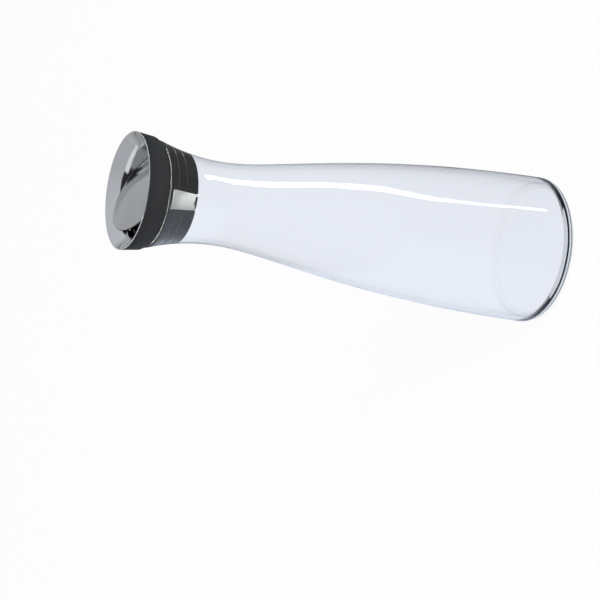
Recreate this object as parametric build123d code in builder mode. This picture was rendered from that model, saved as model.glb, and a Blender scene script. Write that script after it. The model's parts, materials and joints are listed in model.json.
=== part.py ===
from build123d import *
from math import acos, atan2, cos, degrees, hypot, pi, radians, sin, sqrt, tan
import os

# Glass carafe with a lid whose steel flap opens by itself when the carafe is tipped.
# Millimetres. The origin is the middle of the base on the table, +Z runs up the axis,
# -X is the side it pours from and the flap turns about an axis along Y.

# Glass bottle
glass_height = 282.9
glass_wall = 3.0
foot_radius = 48.75
foot_round = 9.0
punt_radius = 34.0
punt_height = 1.6
floor_thickness = 12.0
floor_round = 5.0
belly_radius = 46.55
belly_height = 70.0
shoulder_radius = 39.7
shoulder_height = 140.0
slope_radius = 32.0
slope_height = 190.0
neck_radius = 26.5
neck_drop = 42.9
lip_radius = 33.9
foot_lean = 0.015
lip_lean = 0.33

# Steel dish in the mouth
rim_overhang = 3.35
rim_bead = 1.2
sheet = 0.5
dish_depth = 9.6
throat_bend = 8.0
nib_radius = 1.5
nib_span = 7.0
nib_turn = 18.0

# Flap
open_angle = 24.0
disc_flat = 1.8
disc_dome = 3.0
disc_rise = 0.2
pivot_drop = 2.2
seal_thickness = 0.6
seal_overhang = 0.1
seal_band = 3.8
carrier_plate = 1.0
carrier_inset = 1.4
barrel_radius = 1.7
pin_radius = 0.75
pin_end_play = 0.7
pin_grip = 13.0
stem_radius = 3.4
stem_flare = 2.4
web_thickness = 1.2
web_reach = 19.0
web_drop = 5.0
weight_radius = 8.0
weight_height = 8.0
weight_chamfer = 1.0
weight_clearance = 1.4
screw_radius = 1.5
screw_bite = 6.5
screw_head_radius = 2.8
screw_head_height = 2.0
driver_width = 1.0
driver_depth = 1.0
boss_radius = 2.4
boss_length = 9.0

# Lid body
collar_taper = 1.45
collar_round = 3.2
collar_foot = 0.8
collar_wall = 2.65
collar_skirt = 3.1
flange_step = 1.6
sleeve_flange = 1.0
sleeve_wall = 0.5
lamella_depth = 0.5
lamella_root = 1.7
lamella_tip = 0.9
lamella_count = 3
lamella_first = 2.2
lamella_pitch = 6.4
plug_length = 20.9
sleeve_lip = 0.8
lip_hold = 1.1
throat_wall = 0.6
stop_gap = 0.4
stop_width = 1.5
foot_wall = 1.55
strainer_sheet = 0.6
strainer_rim = 2.0
strainer_hold = 0.6
strainer_hole = 1.3
strainer_margin = 3.4
strainer_rings = 4
bush_radius = 1.4
bush_head_radius = 2.1
bush_head = 1.0
bush_blind = 0.8
bush_inset = 0.1
gasket_inset = 2.3
gasket_width = 1.2
gasket_depth = 1.2

# Clearances
snug = 0.03
running = 0.05
parting = 0.3
flap_sweep_gap = 0.3

# Outline of the glass, from the top of the foot to the lip
lip_round = glass_wall / 2
lip_height = glass_height - lip_round
with BuildLine():
    glass_curve = Spline(
        (foot_radius, foot_round),
        (belly_radius, belly_height),
        (shoulder_radius, shoulder_height),
        (slope_radius, slope_height),
        (neck_radius, glass_height - neck_drop),
        (lip_radius, lip_height),
        tangents=((-foot_lean, 1), (lip_lean, 1)),
    )


def glass_radius(height):
    """Outer radius of the glass at a height, found by halving along the outline."""
    low, high = 0.0, 1.0
    for _ in range(40):
        middle = (low + high) / 2
        if (glass_curve @ middle).Y < height:
            low = middle
        else:
            high = middle
    return (glass_curve @ low).X


def bore_radius(height):
    """Inner radius of the glass at a height."""
    return glass_radius(height) - glass_wall


# Heights that follow
lip_stack = parting + sleeve_flange + bush_inset + bush_head_radius
pivot_depth = dish_depth - disc_rise + pivot_drop
rim_height = glass_height + lip_stack + pivot_depth
rim_foot_height = rim_height - rim_bead
pivot_height = rim_height - pivot_depth
step_height = glass_height + collar_skirt
sleeve_top = glass_height + parting + sleeve_flange
plug_foot = glass_height - plug_length

# Radii that follow, from the bore of the glass inwards and from its lip outwards
core_stack = parting + lamella_depth + sleeve_wall
core_top_radius = bore_radius(lip_height) - core_stack
core_foot_radius = bore_radius(plug_foot) - core_stack
bowl_radius = core_top_radius - throat_wall
throat_radius = bowl_radius - snug - sheet
seal_radius = sqrt((throat_radius - flap_sweep_gap) ** 2 - pivot_drop**2)
disc_radius = seal_radius - seal_overhang
strainer_radius = core_foot_radius - foot_wall
rim_radius = lip_radius + rim_overhang
flange_radius = rim_radius - collar_wall
collar_bore = flange_radius - flange_step
gasket_inner = flange_radius - gasket_inset - gasket_width / 2
gasket_outer = gasket_inner + gasket_width
bush_reach = collar_bore - bush_inset
pin_reach = bush_reach - bush_blind - pin_end_play

# Dish: its rolled rim, and the bend of the throat that runs on as the cone up to the rim
bead_radius = rim_bead / 2
bead_height = rim_height - bead_radius
dish_top_radius = rim_radius - rim_bead
bend_middle = throat_radius + throat_bend
rim_run = dish_top_radius - bend_middle
rim_rise = bead_height - pivot_height
bend_end = atan2(rim_rise, rim_run) + acos(throat_bend / hypot(rim_run, rim_rise))
bend_turn = degrees(pi - bend_end)
dish_slope = tan(bend_end - pi / 2)
sheet_drop = sheet * hypot(1, dish_slope)

# Flap, as heights over the pivot axis in its own frame
disc_top = pivot_drop
disc_foot = disc_top - sheet
plate_top = disc_foot - seal_thickness
plate_foot = plate_top - carrier_plate
tilt_sine = sin(radians(open_angle))
tilt_cosine = cos(radians(open_angle))
weight_floor = plug_foot + strainer_sheet + weight_clearance - pivot_height
weight_foot = (weight_floor + weight_radius * tilt_sine) / tilt_cosine
stem_foot = weight_foot + weight_height
boss_foot = disc_foot + disc_dome - boss_length
stop_height = pivot_height - seal_radius * tilt_sine + plate_top * tilt_cosine - stop_gap


def section(turn=0):
    """Plane through the carafe's axis, turned from +X, with its y along +Z."""
    return Plane(
        origin=(0, 0, 0),
        x_dir=(cos(radians(turn)), sin(radians(turn)), 0),
        z_dir=(sin(radians(turn)), -cos(radians(turn)), 0),
    )


def side_plane(side, reach):
    """Plane across the pivot axis, at a reach along +Y or -Y, facing outwards."""
    return Plane(origin=(0, side * reach, pivot_height), x_dir=(1, 0, 0), z_dir=(0, side, 0))


def dish_under(radius):
    """Height of the lower face of the dish's cone at a radius."""
    return bead_height + dish_slope * (radius - dish_top_radius) - sheet_drop


def bend_point(depth, angle):
    """Point at a depth under the throat bend's face, by its angle about the bend's middle."""
    reach = throat_bend - depth
    return (bend_middle + reach * cos(angle), pivot_height + reach * sin(angle))


def plug_radius(height):
    """Outer radius of the core's tapered wall at a height."""
    share = (height - plug_foot) / (lip_height - plug_foot)
    return core_foot_radius + share * (core_top_radius - core_foot_radius)


floor_corner = floor_thickness + floor_round
punt_bend = (punt_radius**2 + punt_height**2) / (2 * punt_height)

with BuildPart() as glass_bottle:
    with BuildSketch(Plane.XZ):
        with BuildLine():
            RadiusArc((0, punt_height), (punt_radius, 0), punt_bend)
            Line((punt_radius, 0), (foot_radius - foot_round, 0))
            CenterArc((foot_radius - foot_round, foot_round), foot_round, 270, 90)
            add(glass_curve)
            CenterArc((lip_radius - lip_round, lip_height), lip_round, 0, 180)
            Spline(
                (lip_radius - glass_wall, lip_height),
                (neck_radius - glass_wall, glass_height - neck_drop),
                (slope_radius - glass_wall, slope_height),
                (shoulder_radius - glass_wall, shoulder_height),
                (belly_radius - glass_wall, belly_height),
                (bore_radius(floor_corner), floor_corner),
                tangents=((-lip_lean, -1), (foot_lean, -1)),
            )
            CenterArc(
                (bore_radius(floor_corner) - floor_round, floor_corner), floor_round, 0, -90
            )
            Line((bore_radius(floor_corner) - floor_round, floor_thickness), (0, floor_thickness))
            Line((0, floor_thickness), (0, punt_height))
        make_face()
    revolve(axis=Axis.Z)
glass_bottle.part.label = "glass_bottle"

skirt_drop = pivot_height - stop_height
skirt_outer = throat_radius + sheet
skirt_foot_radius = sqrt(throat_radius**2 - skirt_drop**2)
skirt_foot_outer = sqrt(skirt_outer**2 - skirt_drop**2)
nib_height = pivot_height + plate_top - parting - nib_radius
under_rim = dish_top_radius + (rim_foot_height - bead_height + sheet_drop) / dish_slope

# Drawn dish: rolled rim, cone and a round throat that the flap's edge sweeps
with BuildPart() as steel_funnel:
    with BuildSketch(Plane.XZ):
        with BuildLine():
            CenterArc((rim_radius - bead_radius, bead_height), bead_radius, 0, 180)
            Line((dish_top_radius, bead_height), bend_point(0, bend_end))
            CenterArc((bend_middle, pivot_height), throat_bend, 180, -bend_turn)
            RadiusArc(
                (throat_radius, pivot_height), (skirt_foot_radius, stop_height), throat_radius
            )
            Line((skirt_foot_radius, stop_height), (skirt_foot_outer, stop_height))
            RadiusArc((skirt_foot_outer, stop_height), (skirt_outer, pivot_height), -skirt_outer)
            CenterArc((bend_middle, pivot_height), throat_bend - sheet, 180, -bend_turn)
            Polyline(
                bend_point(sheet, bend_end),
                (under_rim, rim_foot_height),
                (rim_radius, rim_foot_height),
                (rim_radius, bead_height),
            )
        make_face()
    revolve(axis=Axis.Z)
    # Pressed nibs under the pouring edge, where the closed flap comes to rest
    for turn in (180 - nib_turn, 180 + nib_turn):
        with BuildSketch(section(turn - nib_span / 2)):
            with BuildLine():
                CenterArc((throat_radius + snug, nib_height), nib_radius, 90, 180)
                Line(
                    (throat_radius + snug, nib_height - nib_radius),
                    (throat_radius + snug, nib_height + nib_radius),
                )
            make_face()
        revolve(axis=Axis.Z, revolution_arc=nib_span)
    # Holes that the pivot pins pass through
    with BuildSketch(side_plane(1, 0)):
        Circle(pin_radius + parting)
    extrude(amount=rim_radius, both=True, mode=Mode.SUBTRACT)
steel_funnel.part.label = "steel_funnel"

# Collar between the rim and the glass lip, with a rounded lower edge
collar_top = rim_radius - snug
collar_bend = glass_height + collar_round
collar_waist = collar_top - collar_taper

with BuildPart() as collar_ring:
    with BuildSketch(Plane.XZ):
        with BuildLine():
            Polyline(
                (collar_top, rim_foot_height),
                (collar_waist, collar_bend),
                (collar_bore + collar_foot, glass_height),
                (collar_bore, glass_height),
                (collar_bore, step_height),
                (flange_radius + snug, step_height),
                (flange_radius + snug, dish_under(flange_radius + snug) - snug),
                (under_rim + snug, rim_foot_height),
                close=True,
            )
        make_face()
    revolve(axis=Axis.Z)
    waist_edge = collar_ring.edges().filter_by(GeomType.CIRCLE).filter_by(
        lambda edge: abs(edge.radius - collar_waist) < snug and abs(edge.center().Z - collar_bend) < snug
    )
    fillet(waist_edge, collar_round)
collar_ring.part.label = "collar_ring"

# Core of the lid: round seat of the throat, a bevel that clears the bend, and the plug's wall
stop_edge_radius = sqrt(bowl_radius**2 - skirt_drop**2)
stop_radius = skirt_foot_radius - stop_width
strainer_seat = plug_foot + strainer_rim + snug

with BuildPart() as lid_core:
    with BuildSketch(Plane.XZ):
        with BuildLine():
            Polyline(
                (bowl_radius, pivot_height),
                bend_point(sheet + snug, bend_end),
                (flange_radius, dish_under(flange_radius) - snug),
                (flange_radius, step_height),
                (collar_bore - snug, step_height),
                (collar_bore - snug, sleeve_top),
                (core_top_radius, sleeve_top),
                (core_top_radius, lip_height),
                (core_foot_radius, plug_foot),
                (strainer_radius, plug_foot),
                (strainer_radius, strainer_seat),
                (strainer_radius - strainer_hold, strainer_seat),
                (stop_radius, stop_height),
                (stop_edge_radius, stop_height),
            )
            RadiusArc((stop_edge_radius, stop_height), (bowl_radius, pivot_height), -bowl_radius)
        make_face()
    revolve(axis=Axis.Z)
    # Groove for the gasket under the dish
    groove_floor = dish_under(gasket_inner) - gasket_depth
    with BuildSketch(Plane.XZ):
        with BuildLine():
            Polyline(
                (gasket_inner - snug, groove_floor),
                (gasket_outer + snug, groove_floor),
                (gasket_outer + snug, dish_under(flange_radius)),
                (gasket_inner - snug, dish_under(flange_radius)),
                close=True,
            )
        make_face()
    revolve(axis=Axis.Z, mode=Mode.SUBTRACT)
    # Seats of the two pivot bushes
    with BuildSketch(side_plane(1, 0)):
        Circle(bush_radius + snug)
    extrude(amount=rim_radius, both=True, mode=Mode.SUBTRACT)
    for side in (1, -1):
        with BuildSketch(side_plane(side, bush_reach - bush_head)):
            Circle(bush_head_radius + snug)
        extrude(amount=flange_radius, mode=Mode.SUBTRACT)
lid_core.part.label = "lid_core"

# Gasket that seals the dish against the core, its top moulded to the cone
with BuildPart() as dish_seal:
    with BuildSketch(Plane.XZ):
        with BuildLine():
            Polyline(
                (gasket_inner, groove_floor),
                (gasket_outer, groove_floor),
                (gasket_outer, dish_under(gasket_outer) - snug),
                (gasket_inner, dish_under(gasket_inner) - snug),
                close=True,
            )
        make_face()
    revolve(axis=Axis.Z)
dish_seal.part.label = "dish_seal"

# Bushes that hold the pivot pins, pushed in from outside before the collar goes on
bush_foot = bend_middle - sqrt((throat_bend - sheet - snug) ** 2 - bush_radius**2)

with BuildPart() as pivot_bushes:
    for side in (1, -1):
        with BuildSketch(side_plane(side, bush_foot)):
            Circle(bush_radius)
        extrude(amount=bush_reach - bush_foot)
        with BuildSketch(side_plane(side, bush_reach - bush_head)):
            Circle(bush_head_radius)
        extrude(amount=bush_head)
        with BuildSketch(side_plane(side, bush_foot)):
            Circle(pin_radius + running)
        extrude(amount=bush_reach - bush_blind - bush_foot, mode=Mode.SUBTRACT)
pivot_bushes.part.label = "pivot_bushes"

# Silicone sleeve: flange over the glass lip, thin wall, lamellae and a lip under the strainer
sleeve_top_radius = core_top_radius + sleeve_wall
sleeve_foot_radius = core_foot_radius + sleeve_wall
lamella_heights = [
    glass_height - lamella_first - turn * lamella_pitch for turn in range(lamella_count)
] + [plug_foot]

with BuildPart() as sealing_sleeve:
    with BuildSketch(Plane.XZ):
        with BuildLine():
            Polyline(
                (core_top_radius + snug, sleeve_top),
                (collar_bore - snug, sleeve_top),
                (collar_bore - snug, sleeve_top - sleeve_flange),
                (sleeve_top_radius, sleeve_top - sleeve_flange),
                (sleeve_top_radius, lip_height),
                (sleeve_foot_radius, plug_foot),
                (sleeve_foot_radius, plug_foot - sleeve_lip),
                (strainer_radius - lip_hold, plug_foot - sleeve_lip),
                (strainer_radius - lip_hold, plug_foot),
                (core_foot_radius + snug, plug_foot),
                (core_top_radius + snug, lip_height),
                close=True,
            )
        make_face()
        for height in lamella_heights:
            tip = bore_radius(height) - parting
            root = plug_radius(height) + sleeve_wall / 2
            with BuildLine():
                Polyline(
                    (root, height + lamella_root / 2),
                    (tip, height + lamella_tip / 2),
                    (tip, height - lamella_tip / 2),
                    (root, height - lamella_root / 2),
                    close=True,
                )
            make_face()
    revolve(axis=Axis.Z)
sealing_sleeve.part.label = "sealing_sleeve"

# Steel cup in the foot of the plug, perforated with six-sided holes
with BuildPart() as pour_strainer:
    with BuildSketch(Plane.XY.offset(plug_foot)):
        Circle(strainer_radius - snug)
    extrude(amount=strainer_rim)
    with BuildSketch(Plane.XY.offset(plug_foot + strainer_sheet)):
        Circle(strainer_radius - snug - strainer_sheet)
    extrude(amount=strainer_rim, mode=Mode.SUBTRACT)
    with BuildSketch(Plane.XY.offset(plug_foot)):
        RegularPolygon(strainer_hole, 6, major_radius=False)
        strainer_pitch = (strainer_radius - strainer_margin) / strainer_rings
        for ring in range(1, strainer_rings + 1):
            with PolarLocations(ring * strainer_pitch, 6 * ring):
                RegularPolygon(strainer_hole, 6, major_radius=False)
    extrude(amount=strainer_sheet, mode=Mode.SUBTRACT)
pour_strainer.part.label = "pour_strainer"

# Frame of the flap: its origin is on the pivot axis and it stands open as stored
flap_plane = Plane(
    origin=(0, 0, pivot_height),
    x_dir=(tilt_cosine, 0, -tilt_sine),
    z_dir=(tilt_sine, 0, tilt_cosine),
)
flap_axis = Axis((0, 0, pivot_height), flap_plane.z_dir)


def flap_section(turn=0):
    """Plane through the flap's own axis, with its y along that axis."""
    turned = flap_plane.rotated((0, 0, turn))
    return Plane(origin=flap_plane.origin, x_dir=turned.x_dir, z_dir=-turned.y_dir)


def flap_barrel_plane(side, reach):
    """Plane across the pivot axis in the flap's frame, facing outwards."""
    origin = (0, side * reach, pivot_height)
    return Plane(origin=origin, x_dir=flap_plane.x_dir, z_dir=(0, side, 0))


dome_radius = disc_radius - disc_flat
dome_bend = (dome_radius**2 + disc_dome**2) / (2 * disc_dome)

# Polished disc: flat edge, low dome and a threaded boss underneath
with BuildPart() as flap_disc:
    with BuildSketch(flap_section()):
        with BuildLine():
            Polyline(
                (0, disc_foot + disc_dome),
                (0, disc_top + disc_dome),
            )
            RadiusArc((0, disc_top + disc_dome), (dome_radius, disc_top), dome_bend)
            Polyline(
                (dome_radius, disc_top),
                (disc_radius, disc_top),
                (disc_radius, disc_foot),
                (dome_radius, disc_foot),
            )
            RadiusArc((dome_radius, disc_foot), (0, disc_foot + disc_dome), -dome_bend)
        make_face()
    revolve(axis=flap_axis)
    with BuildSketch(flap_plane.offset(boss_foot)):
        Circle(boss_radius)
    extrude(amount=boss_length + sheet / 2)
    with BuildSketch(flap_plane.offset(boss_foot)):
        Circle(screw_radius + snug)
    extrude(amount=screw_bite + parting, mode=Mode.SUBTRACT)
flap_disc.part.label = "flap_disc"

# Soft ring clamped between the disc and its carrier
seal_bore = seal_radius - seal_band
with BuildPart() as flap_seal:
    with BuildSketch(flap_plane.offset(plate_top)):
        Circle(seal_radius)
        Circle(seal_bore, mode=Mode.SUBTRACT)
    extrude(amount=seal_thickness)
flap_seal.part.label = "flap_seal"

# Carrier: plate, land inside the seal, webbed stem and two barrels for the pivot pins
carrier_radius = disc_radius - carrier_inset
land_radius = seal_bore - snug
with BuildPart() as flap_carrier:
    with BuildSketch(flap_section()):
        with BuildLine():
            Polyline(
                (0, plate_top),
                (land_radius - seal_band, plate_top),
                (land_radius - seal_band, disc_foot),
                (land_radius, disc_foot),
                (land_radius, plate_top),
                (carrier_radius, plate_top),
                (carrier_radius, plate_foot),
                (stem_radius + stem_flare, plate_foot),
                (stem_radius, stem_foot),
                (0, stem_foot),
                close=True,
            )
        make_face()
    revolve(axis=flap_axis)
    for turn in (45, 135, 225, 315):
        with BuildSketch(flap_section(turn)):
            with BuildLine():
                Polyline(
                    (stem_radius / 2, plate_top - carrier_plate / 2),
                    (web_reach, plate_top - carrier_plate / 2),
                    (web_reach, plate_foot),
                    (stem_radius, plate_foot - web_drop),
                    (stem_radius / 2, plate_foot - web_drop),
                    close=True,
                )
            make_face()
        extrude(amount=web_thickness / 2, both=True)
    for side in (1, -1):
        with BuildSketch(flap_barrel_plane(side, 0)):
            Circle(barrel_radius)
        extrude(amount=land_radius - snug)
    for side in (1, -1):
        with BuildSketch(flap_barrel_plane(side, pin_grip)):
            Circle(pin_radius + snug)
        extrude(amount=carrier_radius, mode=Mode.SUBTRACT)
    with BuildSketch(flap_plane.offset(boss_foot)):
        Circle(boss_radius + snug)
    extrude(amount=boss_length, mode=Mode.SUBTRACT)
    with BuildSketch(flap_plane.offset(stem_foot)):
        Circle(screw_radius + snug)
    extrude(amount=boss_foot - stem_foot, mode=Mode.SUBTRACT)
flap_carrier.part.label = "flap_carrier"

# Two stub pins on the pivot axis
with BuildPart() as pivot_pins:
    for side in (1, -1):
        with BuildSketch(flap_barrel_plane(side, pin_grip)):
            Circle(pin_radius)
        extrude(amount=pin_reach - pin_grip)
pivot_pins.part.label = "pivot_pins"

# Pendulum weight that shuts the flap when the carafe stands
with BuildPart() as counterweight:
    with BuildSketch(flap_plane.offset(weight_foot)):
        Circle(weight_radius)
    extrude(amount=weight_height)
    chamfer(counterweight.edges().filter_by(GeomType.CIRCLE), weight_chamfer)
    with BuildSketch(flap_plane.offset(weight_foot)):
        Circle(screw_radius + snug)
    extrude(amount=weight_height, mode=Mode.SUBTRACT)
    with BuildSketch(flap_plane.offset(weight_foot)):
        Circle(screw_head_radius + snug)
    extrude(amount=screw_head_height, mode=Mode.SUBTRACT)
counterweight.part.label = "counterweight"

# Long screw that clamps weight, carrier, seal and disc together
with BuildPart() as clamp_screw:
    with BuildSketch(flap_plane.offset(weight_foot)):
        Circle(screw_head_radius)
    extrude(amount=screw_head_height)
    with BuildSketch(flap_plane.offset(weight_foot)):
        Circle(screw_radius)
    extrude(amount=boss_foot + screw_bite - weight_foot)
    with BuildSketch(flap_plane.offset(weight_foot)):
        RegularPolygon(driver_width, 6)
    extrude(amount=driver_depth, mode=Mode.SUBTRACT)
clamp_screw.part.label = "clamp_screw"

pieces = (
    glass_bottle,
    steel_funnel,
    collar_ring,
    lid_core,
    dish_seal,
    pivot_bushes,
    sealing_sleeve,
    pour_strainer,
    flap_disc,
    flap_seal,
    flap_carrier,
    pivot_pins,
    counterweight,
    clamp_screw,
)
os.makedirs("parts", exist_ok=True)
for piece in pieces:
    export_step(piece.part, f"parts/{piece.part.label}.step")
    print(piece.part.label, round(piece.part.volume, 1), piece.part.is_valid)
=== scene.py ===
import json
from math import acos, asin, atan2, cos, degrees, hypot, pi, radians, sin, sqrt, tan

import bmesh
import bpy
import numpy as np
from mathutils import Matrix, Vector


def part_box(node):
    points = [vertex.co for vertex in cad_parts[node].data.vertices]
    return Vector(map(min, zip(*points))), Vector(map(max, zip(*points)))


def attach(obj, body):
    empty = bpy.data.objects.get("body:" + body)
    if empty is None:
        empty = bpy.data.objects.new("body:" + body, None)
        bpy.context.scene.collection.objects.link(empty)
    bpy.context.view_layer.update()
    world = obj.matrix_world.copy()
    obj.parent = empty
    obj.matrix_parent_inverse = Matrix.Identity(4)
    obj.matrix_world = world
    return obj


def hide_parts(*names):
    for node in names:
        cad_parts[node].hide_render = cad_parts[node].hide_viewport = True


# A glass carafe with a polished steel and black lid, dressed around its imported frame.
# Metres in the frame's axes: +Z up the carafe, -X the side it pours from, Y along the pivot.
# Outlines are in millimetres, as (radius, height), with a third number for a corner's round.

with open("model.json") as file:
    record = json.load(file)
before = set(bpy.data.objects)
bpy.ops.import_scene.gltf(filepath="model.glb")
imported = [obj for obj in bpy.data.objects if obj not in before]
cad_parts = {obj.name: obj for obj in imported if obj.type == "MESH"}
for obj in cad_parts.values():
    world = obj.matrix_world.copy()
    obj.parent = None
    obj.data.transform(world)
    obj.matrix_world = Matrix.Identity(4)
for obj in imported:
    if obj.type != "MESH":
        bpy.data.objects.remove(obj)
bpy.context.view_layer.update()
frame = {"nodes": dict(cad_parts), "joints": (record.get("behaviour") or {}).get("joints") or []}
nodes = frame["nodes"]
MM = 0.001


# Heights and radii read from the frame


def top_of(node):
    """Highest point of a node, in millimetres."""
    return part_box(node)[1].z / MM


def foot_of(node):
    """Lowest point of a node, in millimetres."""
    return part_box(node)[0].z / MM


def reach_of(node):
    """Largest radius of a node about the carafe's axis, in millimetres."""
    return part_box(node)[1].y / MM


glass_height = top_of("glass_bottle")
rim_height = top_of("steel_funnel")
rim_radius = reach_of("steel_funnel")
foot_radius = reach_of("glass_bottle")
plug_foot = foot_of("pour_strainer")

flap_joint = next(joint for joint in frame["joints"] if joint["name"] == "flap_tilt")
pivot = Vector(flap_joint["pos_m"])
open_angle = radians(-flap_joint["range_deg"][0])
flap_frame = Matrix.Translation(pivot) @ Matrix.Rotation(open_angle, 4, "Y")


# Shader maths


class Value:
    """A socket that carries a number over a surface, with arithmetic."""

    def __init__(self, finish, socket):
        self.finish = finish
        self.socket = socket

    def maths(self, operation, *terms):
        """The result of one operation on its terms."""
        inputs = dict(enumerate(terms))
        return self.finish.node("ShaderNodeMath", {"operation": operation}, inputs)

    def __add__(self, other):
        return self.maths("ADD", self, other)

    def __radd__(self, other):
        return self.maths("ADD", other, self)

    def __sub__(self, other):
        return self.maths("SUBTRACT", self, other)

    def __rsub__(self, other):
        return self.maths("SUBTRACT", other, self)

    def __mul__(self, other):
        return self.maths("MULTIPLY", self, other)

    def __rmul__(self, other):
        return self.maths("MULTIPLY", other, self)

    def __pow__(self, other):
        return self.maths("POWER", self, other)

    def __rpow__(self, other):
        return self.maths("POWER", other, self)

    def or_more(self, other):
        """The larger of two values."""
        return self.maths("MAXIMUM", self, other)

    def above(self, low, high):
        """0 below low, 1 above high and a smooth step between."""
        inputs = {"Value": self, "From Min": low, "From Max": high}
        settings = {"interpolation_type": "SMOOTHSTEP"}
        return self.finish.node("ShaderNodeMapRange", settings, inputs)

    def below(self, low, high):
        """1 below low, 0 above high and a smooth step between."""
        return 1 - self.above(low, high)


# The colour sockets of a Mix node go by number: its share, its two colours and its result
MIX_SHARE = 0
MIX_FIRST = 6
MIX_SECOND = 7
MIX_RESULT = 2


class Finish:
    """A material, or the world, with the one way to add a node to it."""

    def __init__(self, name, shelf=bpy.data.materials, output="ShaderNodeOutputMaterial"):
        self.material = shelf.new(name)
        self.material.use_nodes = True
        self.tree = self.material.node_tree
        self.tree.nodes.clear()
        self.output = self.tree.nodes.new(output)

    def node(self, kind, settings=None, inputs=None, output=0):
        """Adds a node with its settings and inputs, and gives one of its outputs."""
        made = self.tree.nodes.new(kind)
        for name, setting in (settings or {}).items():
            setattr(made, name, setting)
        for key, given in (inputs or {}).items():
            if isinstance(given, Value):
                self.tree.links.new(given.socket, made.inputs[key])
            else:
                made.inputs[key].default_value = given
        return Value(self, made.outputs[output])

    def place(self, centre=(0, 0, 0), tilt=0.0):
        """The point on the surface and its x, y and z in metres, in the carafe's axes
        or in those of a piece that is tilted along Y about its centre."""
        point = self.node("ShaderNodeTexCoord", output="Object")
        if tilt:
            axes = {"Vector": point, "Location": centre, "Rotation": (0, tilt, 0)}
            point = self.node("ShaderNodeMapping", {"vector_type": "TEXTURE"}, axes)
        return point, self.parts(point)

    def parts(self, point):
        """The x, y and z of a vector."""
        return [self.node("ShaderNodeSeparateXYZ", None, {0: point}, axis) for axis in range(3)]

    def lengthwise(self, point, share):
        """The point with its height scaled, for a texture that runs up the carafe."""
        return self.node("ShaderNodeMapping", None, {"Vector": point, "Scale": (1, 1, share)})

    def grain(self, point, scale, detail=2.0, roughness=0.5):
        """Even noise from 0 to 1."""
        inputs = {"Vector": point, "Scale": scale, "Detail": detail, "Roughness": roughness}
        return self.node("ShaderNodeTexNoise", None, inputs)

    def mixed(self, share, first, second):
        """Colour between two colours."""
        inputs = {MIX_SHARE: share, MIX_FIRST: first, MIX_SECOND: second}
        return self.node("ShaderNodeMix", {"data_type": "RGBA"}, inputs, MIX_RESULT)

    def relief(self, height, depth):
        """Normal from a height of 0 to 1, with its real depth in metres."""
        inputs = {"Height": height, "Strength": 1.0, "Distance": depth}
        return self.node("ShaderNodeBump", None, inputs)

    def surface(self, **inputs):
        """The glossy surface itself; a socket's name has its spaces written as underscores."""
        named = {key.replace("_", " "): given for key, given in inputs.items()}
        shader = self.node("ShaderNodeBsdfPrincipled", None, named)
        self.ends_in(shader, "Surface")
        return self.material

    def either(self, share, first, second):
        """The surface is the first shader where share is 0 and the second where it is 1."""
        both = self.node("ShaderNodeMixShader", None, {0: share, 1: first, 2: second})
        self.ends_in(both, "Surface")

    def ends_in(self, shader, socket):
        """The shader goes to the output, as its Surface or its Volume."""
        self.tree.links.new(shader.socket, self.output.inputs[socket])


def rgb(red, green, blue):
    return (red, green, blue, 1.0)


def grey(tone, cool=0.0):
    """A grey, a little cooler by a share of its tone."""
    return rgb(tone * (1 - cool / 2), tone, tone * (1 + cool))


def from_axis(x, y):
    """Distance from the axis."""
    return (x * x + y * y) ** 0.5


# Finishes


def clear_glass():
    """Fire-polished glass: almost colourless in depth, with the faint ripple of its mould."""
    finish = Finish("clear_glass")
    point, _ = finish.place()
    ripple = finish.grain(finish.lengthwise(point, 0.35), scale=32, detail=1.0)
    depth = {"Color": rgb(0.72, 0.77, 0.82), "Density": 4.0}
    finish.ends_in(finish.node("ShaderNodeVolumeAbsorption", None, depth), "Volume")
    return finish.surface(
        Base_Color=rgb(1.0, 1.0, 1.0),
        Roughness=0.0,
        IOR=1.5,
        Transmission_Weight=1.0,
        Normal=finish.relief(ripple, 0.12 * MM),
    )


def polished_steel(name, tone, haze, centre=(0, 0, 0), tilt=0.0):
    """Spun and polished stainless steel: fine rings about the piece's own axis."""
    finish = Finish(name)
    point, (x, y, _) = finish.place(centre, tilt)
    radius = finish.node("ShaderNodeCombineXYZ", None, {0: from_axis(x, y)})
    rings = finish.grain(radius, scale=2600, detail=3.0)
    cloud = finish.grain(point, scale=55, detail=3.0)
    shade = finish.mixed(cloud.above(0.3, 0.7), grey(tone * 0.94), grey(tone, 0.02))
    return finish.surface(
        Base_Color=shade,
        Metallic=1.0,
        Roughness=haze + 0.05 * cloud + 0.05 * rings,
        Normal=finish.relief(rings, 0.0015 * MM),
    )


def plain_steel():
    """Turned or pressed steel that was only washed, not polished."""
    finish = Finish("plain_steel")
    point, _ = finish.place()
    cloud = finish.grain(point, scale=240, detail=4.0)
    return finish.surface(
        Base_Color=finish.mixed(cloud, rgb(0.42, 0.425, 0.43), rgb(0.55, 0.555, 0.56)),
        Metallic=1.0,
        Roughness=0.24 + 0.14 * cloud,
        Normal=finish.relief(cloud, 0.02 * MM),
    )


def matt_rubber():
    """The collar's soft black: matt, with a fine mould grain and hardly any gloss."""
    finish = Finish("matt_rubber")
    point, _ = finish.place()
    grain = finish.grain(point, scale=1900, detail=3.0, roughness=0.6)
    cloud = finish.grain(point, scale=70)
    return finish.surface(
        Base_Color=finish.mixed(cloud, grey(0.018, 0.06), grey(0.023, 0.06)),
        Roughness=0.74 + 0.14 * grain,
        Normal=finish.relief(grain, 0.03 * MM),
        Specular_IOR_Level=0.12,
    )


def silicone():
    """The sleeve's satin black silicone."""
    finish = Finish("silicone")
    point, _ = finish.place()
    grain = finish.grain(point, scale=700)
    return finish.surface(
        Base_Color=finish.mixed(grain, grey(0.034, -0.04), grey(0.044, -0.04)),
        Roughness=0.46 + 0.14 * grain,
        Normal=finish.relief(grain, 0.02 * MM),
        Specular_IOR_Level=0.3,
    )


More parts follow.
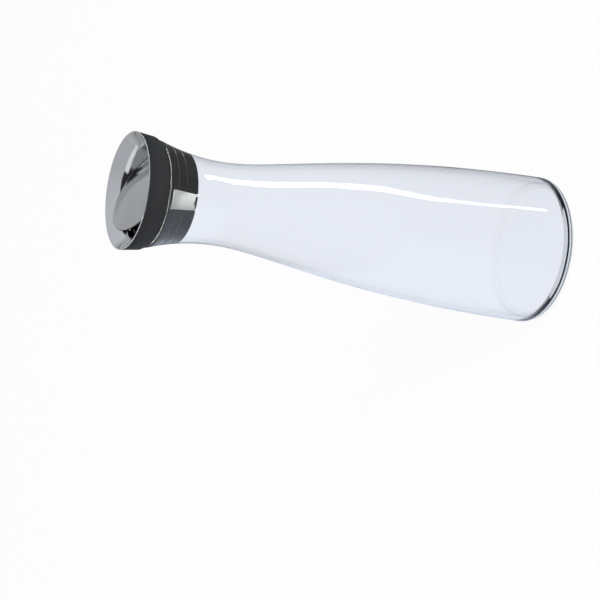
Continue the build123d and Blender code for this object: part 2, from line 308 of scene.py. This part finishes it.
def black_plastic():
    """Moulded black plastic with a spark-eroded grain."""
    finish = Finish("black_plastic")
    point, _ = finish.place()
    grain = finish.grain(point, scale=2400, roughness=0.7)
    return finish.surface(
        Base_Color=finish.mixed(grain, rgb(0.010, 0.0105, 0.012), rgb(0.017, 0.018, 0.020)),
        Roughness=0.33 + 0.15 * grain,
        Normal=finish.relief(grain, 0.02 * MM),
    )


# Turned shapes


def arc(middle, radius, start, end, steps):
    """Points on an arc, at angles in degrees from the outline's first axis."""
    return [
        (
            middle[0] + radius * cos(radians(start + (end - start) * step / steps)),
            middle[1] + radius * sin(radians(start + (end - start) * step / steps)),
        )
        for step in range(steps + 1)
    ]


def rounded(corners, arc_steps=6):
    """Outline through corners of (radius, height, round), each rounded by an arc."""
    outline = []
    count = len(corners)
    for index, (radius, height, bend) in enumerate(corners):
        here = Vector((radius, height))
        if not bend:
            outline.append(here)
            continue
        before = Vector(corners[index - 1][:2]) - here
        after = Vector(corners[(index + 1) % count][:2]) - here
        half = before.angle(after) / 2
        reach = bend / tan(half)
        middle = here + (before.normalized() + after.normalized()).normalized() * bend / sin(half)
        start = here + before.normalized() * reach - middle
        turn = start.angle_signed(here + after.normalized() * reach - middle)
        for step in range(arc_steps + 1):
            angle = -turn * step / arc_steps
            outline.append(middle + Matrix.Rotation(angle, 2) @ start)
    return [tuple(point) for point in outline]


def added(name, data):
    """A new object of the scene, with the mesh, lamp or lens it is made of."""
    thing = bpy.data.objects.new(name, data)
    bpy.context.scene.collection.objects.link(thing)
    return thing


# A smaller radius is a point on the axis, and a greater bend stays sharp
on_axis = 1e-6
sharp_edge = radians(30.0)

# Facets round the smooth pieces, the mirroring dish and the ribbed sleeve
smooth_sides = 256
dish_sides = 288
sleeve_sides = 192


def turned(name, outline, sides, body, finish, place=None):
    """A piece turned from an outline in millimetres. Ends on the axis are closed there;
    an outline with no end on the axis closes on itself."""
    vertices, rings = [], []
    for radius, height in outline:
        count = 1 if radius < on_axis else sides
        rings.append(range(len(vertices), len(vertices) + count))
        for side in range(count):
            angle = 2 * pi * side / sides
            vertices.append((radius * cos(angle) * MM, radius * sin(angle) * MM, height * MM))
    pairs = list(zip(rings, rings[1:]))
    if len(rings[0]) > 1 and len(rings[-1]) > 1:
        pairs.append((rings[-1], rings[0]))
    faces = []
    for low, high in pairs:
        for side in range(sides):
            after = (side + 1) % sides
            corners = [low[side % len(low)], low[after % len(low)]]
            corners += [high[after % len(high)], high[side % len(high)]]
            faces.append(list(dict.fromkeys(corners)))
    mesh = bpy.data.meshes.new(name)
    mesh.from_pydata(vertices, [], faces)
    shape = bmesh.new()
    shape.from_mesh(mesh)
    bmesh.ops.recalc_face_normals(shape, faces=shape.faces)
    shape.to_mesh(mesh)
    shape.free()
    mesh.shade_smooth()
    mesh.set_sharp_from_angle(angle=sharp_edge)
    if place:
        mesh.transform(place)
    piece = added(name, mesh)
    piece.data.materials.append(finish)
    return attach(piece, body)


def spline_radius(knots, first_slope, last_slope):
    """Smooth radius over height through (height, radius) knots with given end slopes."""
    height, radius = np.array(knots).T
    gap = np.diff(height)
    rise = np.diff(radius) / gap
    size = len(knots)
    system = np.eye(size)
    right = np.zeros(size)
    right[0], right[-1] = first_slope, last_slope
    for knot in range(1, size - 1):
        system[knot, knot - 1 : knot + 2] = (
            gap[knot],
            2 * (gap[knot - 1] + gap[knot]),
            gap[knot - 1],
        )
        right[knot] = 3 * (gap[knot] * rise[knot - 1] + gap[knot - 1] * rise[knot])
    slope = np.linalg.solve(system, right)

    def at(place):
        knot = min(max(int(np.searchsorted(height, place)) - 1, 0), size - 2)
        share = (place - height[knot]) / gap[knot]
        start, end = radius[knot], radius[knot + 1]
        lean_start, lean_end = slope[knot] * gap[knot], slope[knot + 1] * gap[knot]
        return float(
            start * (1 + 2 * share) * (1 - share) ** 2
            + lean_start * share * (1 - share) ** 2
            + end * share**2 * (3 - 2 * share)
            + lean_end * share**2 * (share - 1)
        )

    return at


# Glass bottle. Its floor is thinner and flatter here than in the solid, because a thick clear
# floor traps light and turns black at its edge. The outside is the same.

glass_wall = 3.0
foot_round = 9.0
floor_thickness = 8.0
floor_round = 3.0
floor_crown = 0.8
punt_radius = 34.0
punt_height = 0.3
neck_radius = 26.5
neck_drop = 42.9
neck_height = glass_height - neck_drop
lip_radius = 33.9
lip_round = glass_wall / 2
lip_height = glass_height - lip_round
foot_slope = -0.015
lip_slope = 0.33
wall_steps = 110
floor_steps = 8

# The outside's radius at a few heights from foot to lip
glass_radius = spline_radius(
    [
        (foot_round, foot_radius),
        (70.0, 46.55),
        (140.0, 39.7),
        (190.0, 32.0),
        (neck_height, neck_radius),
        (lip_height, lip_radius),
    ],
    foot_slope,
    lip_slope,
)


def heights_between(start, end):
    """Even heights on the wall between two others."""
    return [start + (end - start) * step / wall_steps for step in range(1, wall_steps)]


def glass_outline():
    """Up the outside from the middle of the base, over the lip and down the inside."""
    floor_corner = floor_thickness + floor_round
    corner_radius = glass_radius(floor_corner) - glass_wall - floor_round
    shares = [step / floor_steps for step in range(floor_steps + 1)]
    punt = [(punt_radius * share, punt_height * (1 - share**2)) for share in shares]
    crown = [
        (corner_radius * (1 - share), floor_thickness + floor_crown * (1 - (1 - share) ** 2))
        for share in shares
    ]
    outside = heights_between(foot_round, lip_height)
    inside = heights_between(lip_height, floor_corner)
    return (
        punt
        + arc((foot_radius - foot_round, foot_round), foot_round, -90, 0, steps=14)
        + [(glass_radius(height), height) for height in outside]
        + arc((lip_radius - lip_round, lip_height), lip_round, 0, 180, steps=12)
        + [(glass_radius(height) - glass_wall, height) for height in inside]
        + arc((corner_radius, floor_corner), floor_round, 0, -90, steps=10)
        + crown[1:]
    )


bottle = turned(
    "bottle_glass", glass_outline(), smooth_sides, "bottle", clear_glass()
)
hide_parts("glass_bottle")

# Lid

steel_dish = polished_steel("dish_steel", tone=0.66, haze=0.06)
steel_flap = polished_steel("flap_steel", tone=0.50, haze=0.10, centre=pivot, tilt=open_angle)
rubber = matt_rubber()
sleeve_silicone = silicone()
core_plastic = black_plastic()
bare_steel = plain_steel()

sheet = 0.5
rim_bead = 1.2
rim_land = 0.6
rim_round = 0.25
throat_bend = 8.0
bend_steps = 16
skirt_steps = 22
disc_top = 2.2
flap_sweep_gap = 0.3
snug = 0.03
pin_hole = 1.05
seal_radius = reach_of("flap_seal")
pivot_height = pivot.z / MM
throat_radius = hypot(seal_radius, disc_top) + flap_sweep_gap
skirt_drop = pivot_height - foot_of("steel_funnel")

bead_radius = rim_bead / 2
bead_height = rim_height - bead_radius
dish_top_radius = rim_radius - rim_bead
bend_middle = throat_radius + throat_bend
rim_run = dish_top_radius - bend_middle
rim_rise = bead_height - pivot_height
bend_end = atan2(rim_rise, rim_run) + acos(throat_bend / hypot(rim_run, rim_rise))
dish_slope = tan(bend_end - pi / 2)
sheet_drop = sheet * hypot(1, dish_slope)
under_rim = dish_top_radius + (bead_radius - rim_bead + sheet_drop) / dish_slope

# The edge between the rim's flat land and the cone is eased from the land to a point on the cone
land_ease = 0.12
edge_inset = 0.05
edge_drop = 0.06
cone_ease = 0.3

# The cone has one more ring at this share of its length, which keeps its shading even
cone_ring = 0.06


def dish_under(radius):
    """Height of the lower face of the dish's cone at a radius."""
    return bead_height + dish_slope * (radius - dish_top_radius) - sheet_drop


def up_cone(point, run):
    """The point that lies a run further out and as far up as the cone rises."""
    return (point[0] + run, point[1] + run * dish_slope)


def skirt(radius):
    """The round skirt of the throat at a radius, from the pivot's height down to its foot."""
    turn = -degrees(asin(skirt_drop / radius))
    return arc((0, pivot_height), radius, 0, turn, skirt_steps)


def dish_outline():
    """Over the rolled rim, down the cone, round the bend, down the throat and back."""
    bend = (bend_middle, pivot_height)
    start = degrees(bend_end)
    face = arc(bend, throat_bend, start, 180, bend_steps)
    back = arc(bend, throat_bend - sheet, 180, start, bend_steps)
    ring_run = (dish_top_radius - face[0][0]) * cone_ring
    land = dish_top_radius + (rim_height - bead_height) / dish_slope
    return (
        [(rim_radius, rim_height - rim_land)]
        + arc((rim_radius - rim_round, rim_height - rim_round), rim_round, 0, 90, steps=6)
        + [(land + land_ease, rim_height), (land - edge_inset, rim_height - edge_drop)]
        + [(land - cone_ease, rim_height - cone_ease * dish_slope)]
        + [up_cone(face[0], ring_run)]
        + face
        + skirt(throat_radius)[1:]
        + skirt(throat_radius + sheet)[::-1]
        + back[1:]
        + [up_cone(back[-1], ring_run)]
        + [(under_rim, rim_height - rim_bead), (rim_radius - rim_land, rim_height - rim_bead)]
        + [(rim_radius - rim_land, rim_height - rim_land)]
    )


dish = turned("steel_dish", dish_outline(), dish_sides, "lid", steel_dish)

# The closed flap rests on two nibs in the throat, one on each side of the pouring line
nib_radius = 1.5
nib_span = 7.0
nib_turn = 18.0
seal_thickness = 0.6
parting = 0.3
nib_height = pivot_height + disc_top - sheet - seal_thickness - parting - nib_radius


def press_nibs(piece):
    """Presses the two nibs into the wall of the throat."""
    for vertex in piece.data.vertices:
        x, y, z = vertex.co / MM
        for turn in (radians(180 - nib_turn), radians(180 + nib_turn)):
            aside = abs((atan2(y, x) % (2 * pi)) - turn) / (radians(nib_span) / 2)
            rise = abs(z - nib_height) / nib_radius
            if hypot(x, y) < throat_radius + sheet + snug and aside < 1 and rise < 1:
                press = nib_radius * sqrt((1 - rise**2) * (1 - aside**4))
                vertex.co.x -= press * cos(turn) * MM
                vertex.co.y -= press * sin(turn) * MM


def drill_along_pivot(piece, radius):
    """Drills a round hole along the flap's axis through both sides of a piece."""
    shape = bmesh.new()
    along_y = Matrix.Translation(pivot) @ Matrix.Rotation(pi / 2, 4, "X")
    bmesh.ops.create_cone(
        shape,
        cap_ends=True,
        segments=48,
        radius1=radius * MM,
        radius2=radius * MM,
        depth=2 * rim_radius * MM,
        matrix=along_y,
    )
    mesh = bpy.data.meshes.new("drill")
    shape.to_mesh(mesh)
    shape.free()
    drill = added("drill", mesh)
    cut = piece.modifiers.new("pin_holes", "BOOLEAN")
    cut.operation = "DIFFERENCE"
    cut.solver = "EXACT"
    cut.object = drill
    seen = bpy.context.evaluated_depsgraph_get()
    drilled = bpy.data.meshes.new_from_object(piece.evaluated_get(seen), depsgraph=seen)
    piece.modifiers.clear()
    piece.data = drilled
    bpy.data.objects.remove(drill)


press_nibs(dish)
drill_along_pivot(dish, pin_hole)
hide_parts("steel_funnel")

# Collar: a waist under the rim, a step over the glass and a ledge that the rim sits on
collar_bore = 33.0
flange_radius = 34.6 + snug
step_height = glass_height + 3.1
waist_depth = 1.45
waist_rise = 3.2
waist_round = 3.6
foot_ledge = 0.8
foot_edge_round = 0.3
top_edge_round = 0.15
ledge_radius = rim_radius - rim_land + snug
ledge_height = rim_height - rim_land - snug
under_bead = rim_height - rim_bead - snug
collar = turned(
    "collar",
    rounded(
        [
            (rim_radius - snug, ledge_height, top_edge_round),
            (rim_radius - snug - waist_depth, glass_height + waist_rise, waist_round),
            (collar_bore + foot_ledge, glass_height, foot_edge_round),
            (collar_bore, glass_height, 0.0),
            (collar_bore, step_height, 0.0),
            (flange_radius, step_height, 0.0),
            (flange_radius, dish_under(flange_radius) - snug, 0.0),
            (under_rim + snug, under_bead, 0.0),
            (ledge_radius, under_bead, 0.0),
            (ledge_radius, ledge_height, 0.0),
        ]
    ),
    smooth_sides,
    "lid",
    rubber,
)
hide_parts("collar_ring")

# Silicone sleeve, pressed against the bore of the glass all the way down but for its grooves
sleeve_top = glass_height + 1.3
sleeve_foot = foot_of("sealing_sleeve")
sleeve_wall = 1.2
sleeve_head = 1.0
sleeve_lip = 3.4
sleeve_chamfer = 0.5
sleeve_steps = 120
inner_every = 12
squeeze = 0.05
squeeze_drop = 0.6
groove_drops = (1.3, 7.4, 13.3)
groove_depth = 0.15
groove_width = 0.22


def bore_radius(height):
    """Inner radius of the glass at a height."""
    return glass_radius(min(height, lip_height)) - glass_wall


def groove_at(height):
    """Depth of the nearest groove at a height: a smooth dip that ends a groove's width away."""
    away = min(abs(height - (glass_height - drop)) for drop in groove_drops)
    return groove_depth * (0.5 + 0.5 * cos(pi * min(away, groove_width) / groove_width))


def sleeve_outline():
    """Down the pressed outer face with its grooves, under the foot and up the inner face,
    which has one ring to every twelve of the outer face."""
    face = []
    start = lip_height - squeeze_drop
    for step in range(sleeve_steps + 1):
        height = start + (sleeve_foot + sleeve_chamfer - start) * step / sleeve_steps
        face.append((bore_radius(height) + squeeze - groove_at(height), height))
    inside = [(radius - sleeve_wall, height) for radius, height in face[::-inner_every]]
    lip_inside = face[-1][0] - sleeve_lip
    return (
        [(inside[-1][0], sleeve_top), (collar_bore - snug, sleeve_top)]
        + [(collar_bore - snug, sleeve_top - sleeve_head), (face[0][0], sleeve_top - sleeve_head)]
        + face
        + [(face[-1][0] - sleeve_chamfer, sleeve_foot), (lip_inside, sleeve_foot)]
        + [(lip_inside, plug_foot), (inside[0][0], plug_foot)]
        + inside
    )


sleeve = turned(
    "silicone_sleeve", sleeve_outline(), sleeve_sides, "lid", sleeve_silicone
)
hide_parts("sealing_sleeve")

# Carried-over nodes with their finishes

node_finishes = {
    "lid_core": core_plastic,
    "dish_seal": sleeve_silicone,
    "pivot_bushes": core_plastic,
    "pour_strainer": bare_steel,
    "flap_seal": sleeve_silicone,
    "flap_carrier": core_plastic,
    "pivot_pins": bare_steel,
    "counterweight": bare_steel,
    "clamp_screw": bare_steel,
}
for node, finish in node_finishes.items():
    for material_slot in nodes[node].material_slots:
        material_slot.material = finish

# Flap disc, in the flap's own frame: x and y in its plane, z out of the dish

disc_radius = reach_of("flap_disc")
disc_dome = 3.0
disc_land = 1.8
dome_radius = disc_radius - disc_land
dome_steps = 20


def dome(base):
    """Points of the low dome over a base height, from the axis out."""
    shares = [step / dome_steps for step in range(dome_steps + 1)]
    return [(dome_radius * share, base + disc_dome * (1 - share**2)) for share in shares]


disc_edge = rounded(
    [
        (dome_radius, disc_top, 0.0),
        (disc_radius, disc_top, 0.25),
        (disc_radius, disc_top - sheet, 0.15),
        (dome_radius, disc_top - sheet, 0.0),
    ],
    arc_steps=4,
)
disc = turned(
    "flap_top",
    dome(disc_top)[:-1] + disc_edge + dome(disc_top - sheet)[-2::-1],
    smooth_sides,
    "flap",
    steel_flap,
    place=flap_frame,
)
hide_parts("flap_disc")

# Stage: white floor and backdrop, soft daylight, two softboxes and the cards that glass shows.
# Shading goes by metres on the floor and the cards, and by direction, -1 to 1, in the daylight.

floor_half = 4000
floor_drop = 0.2

# How much of the floor glows to the camera, how bright the daylight is that lights the carafe,
# and what share of the light is kept at each reflection inside the glass
floor_glow = 0.93
sky_fill = 0.60
inside_share = 0.85
inside_dark = grey(0.45, 0.1)
inside_light = rgb(0.83, 0.86, 0.93)


def stage_piece(name, corners, finish):
    """A flat piece of the stage through its corners, in millimetres."""
    mesh = bpy.data.meshes.new(name)
    mesh.from_pydata([Vector(corner) * MM for corner in corners], [], [range(len(corners))])
    piece = added(name, mesh)
    mesh.materials.append(finish)
    return piece


def seen_light(finish, mirrored):
    """What camera, glass and metal see of the surroundings, and how much of it glows.
    Light that comes by way of reflections inside the glass is dimmer with each of them."""
    camera, metal, through, bounces = (
        finish.node("ShaderNodeLightPath", output=name)
        for name in ("Is Camera Ray", "Is Glossy Ray", "Is Transmission Ray", "Glossy Depth")
    )
    behind_glass = finish.mixed(inside_share**bounces, inside_dark, inside_light)
    colour = finish.mixed(through, mirrored, behind_glass)
    glow = (camera * floor_glow).or_more(metal).or_more(through)
    return finish.mixed(camera, colour, grey(1.0)), glow


def stage_floor():
    """White floor that keeps the carafe's shadow. Metal sees it pale on the pouring side, dark
    on the other and grey further off."""
    finish = Finish("floor")
    _, (x, y, _) = finish.place()
    near = finish.mixed(x.above(-0.12, 0.13), grey(0.88, 0.20), grey(0.10))
    mirrored = finish.mixed(from_axis(x, y).above(0.45, 0.65), near, grey(0.26, 0.08))
    colour, glow = seen_light(finish, mirrored)
    paper = finish.node("ShaderNodeBsdfDiffuse", None, {"Color": grey(0.95)})
    white = finish.node("ShaderNodeEmission", None, {"Color": colour, "Strength": 1.0})
    finish.either(glow, paper, white)
    low, high = -floor_half, floor_half
    corners = [(low, low, 0), (high, low, 0), (high, high, 0), (low, high, 0)]
    stage_piece("floor", corners, finish.material).location.z = -floor_drop * MM


def softbox(name, place, aim, side, brightness):
    """A square soft lamp that looks at a point of the carafe. It isn't seen itself: metal and
    glass show the daylight and the cards in its place."""
    lamp = bpy.data.lights.new(name, "AREA")
    lamp.shape = "SQUARE"
    lamp.size = side
    lamp.energy = brightness * pi * side * side
    holder = added(name, lamp)
    holder.location = place
    holder.rotation_euler = (Vector(aim) - Vector(place)).to_track_quat("-Z", "Y").to_euler()
    holder.visible_camera = False
    holder.visible_glossy = False
    holder.visible_transmission = False


def mirror_card(name, corners, brightness, fades=False):
    """A card whose bright front shows only as a reflection, and whose back is clear. One that
    fades is brightest at its end on the +X side and away from the carafe."""
    finish = Finish(name)
    front = rgb(0.96, 1.0, 0.99)
    if fades:
        _, (x, y, _) = finish.place()
        along = 0.45 + 0.55 * x.above(-0.10, 0.09)
        away = 0.55 + 0.45 * y.below(-0.20, -0.15)
        front = finish.mixed(along * away, grey(0.0), front)
    back = finish.node("ShaderNodeNewGeometry", output="Backfacing")
    bright = finish.node("ShaderNodeEmission", None, {"Color": front, "Strength": brightness})
    finish.either(back, bright, finish.node("ShaderNodeBsdfTransparent"))
    card = stage_piece(name, corners, finish.material)
    card.visible_camera = False
    card.visible_diffuse = False
    card.visible_transmission = False
    card.visible_shadow = False


def daylight():
    """World that is white to the camera. Metal sees a pale sky over a darker horizon, a bright
    window low on the pouring side, with a head that falls towards the back, and the dark of the
    room in front of the carafe."""
    sky = Finish("daylight", bpy.data.worlds, "ShaderNodeOutputWorld")
    bpy.context.scene.world = sky.material
    x, y, z = sky.parts(sky.node("ShaderNodeTexCoord", output="Generated"))
    overhead = sky.mixed(x.above(-0.8, 0.7), grey(0.56, 0.05), grey(0.70, 0.05))
    tone = sky.mixed(z.above(0.0, 0.3), grey(0.20, 0.06), overhead)
    window_head = (z + 0.37 * y).below(0.52, 0.58)
    window = x.below(-0.55, -0.35) * y.below(0.48, 0.58) * window_head * z.above(-0.1, 0.0)
    tone = sky.mixed(window, tone, grey(0.95, 0.04))
    room = y.below(-0.55, -0.45) * x.above(-0.52, -0.44) * z.below(0.80, 0.88)
    tone = sky.mixed(room, tone, grey(0.03))
    colour, glow = seen_light(sky, tone)
    shown = sky.mixed(glow.above(0.0, 0.5), grey(sky_fill), colour)
    backdrop = sky.node("ShaderNodeBackground", None, {"Color": shown, "Strength": 1.0})
    sky.ends_in(backdrop, "Surface")


stage_floor()
daylight()
softbox("key_softbox", place=(0.9, -1.2, 1.3), aim=(0, 0, 0.2), side=0.8, brightness=10.0)
softbox("fill_softbox", place=(-1.3, -0.45, 1.15), aim=(0, 0, 0.25), side=0.7, brightness=1.3)

# Cards, in millimetres. The long streak on the glass is a slanted awning for its upper part,
# with the bright side underneath, and a thin upright strip for its lower part.
awning_start = 120
awning_top = 199
awning_fall = 0.8
awning_right = [(awning_start, -20), (137, -16), (155, -12), (186, -9)]
awning_right += [(222, -10), (271, -16), (289, -25), (307, -46)]
awning_left = [(304, -100), (283, -82), (264, -70), (215, -56)]
awning_left += [(181, -46), (150, -47), (129, -53), (awning_start, -48)]
awning = [
    (x, y, awning_top - awning_fall * (x - awning_start)) for x, y in awning_right + awning_left
]
mirror_card("awning_card", awning, brightness=14)

strip_plane = 75
strip_up = [(-44, 0), (-49, 53), (-49, 92), (-41, 117)]
strip_down = [(-29, 117), (-40, 88), (-43, 54), (-39, 0)]
strip = [(strip_plane, y, z) for y, z in strip_up + strip_down]
mirror_card("strip_card", strip, brightness=7)

# The pale field on the plug is a low slanted card in front of the carafe
plug_field = [(-47, -157, 88), (-56, -179, 76), (-85, -306, 2.5)]
plug_field += [(124, -236, 43), (85, -136, 101), (81, -122, 108)]
mirror_card("plug_card", plug_field, brightness=17, fades=True)

# The thin light line on the lip of the glass is the front half of a flat ring a little over
# the rim, with its bright side underneath.
halo_height = rim_height + 0.5
halo_inner = 50
halo_outer = 110
halo_start = 20
halo_end = -180
halo = arc((0, 0), halo_outer, halo_start, halo_end, steps=30)
halo += arc((0, 0), halo_inner, halo_end, halo_start, steps=30)
mirror_card("halo_card", [(x, y, halo_height) for x, y in halo], brightness=9)

# Camera, at the photograph's angle and roll

camera_place = Vector((0.2945, -1.3739, 0.8127))
camera_right = Vector((0.22697, -0.36753, -0.90189))
camera_up = Vector((0.94769, 0.29675, 0.11756))
lens = bpy.data.cameras.new("camera")
lens.sensor_width = 36.0
lens.lens = 144.0
camera = added("camera", lens)
facing = Matrix((camera_right, camera_up, camera_right.cross(camera_up))).transposed()
camera.matrix_world = Matrix.Translation(camera_place) @ facing.to_4x4()
bpy.context.scene.camera = camera
bpy.context.scene.view_settings.view_transform = "Standard"
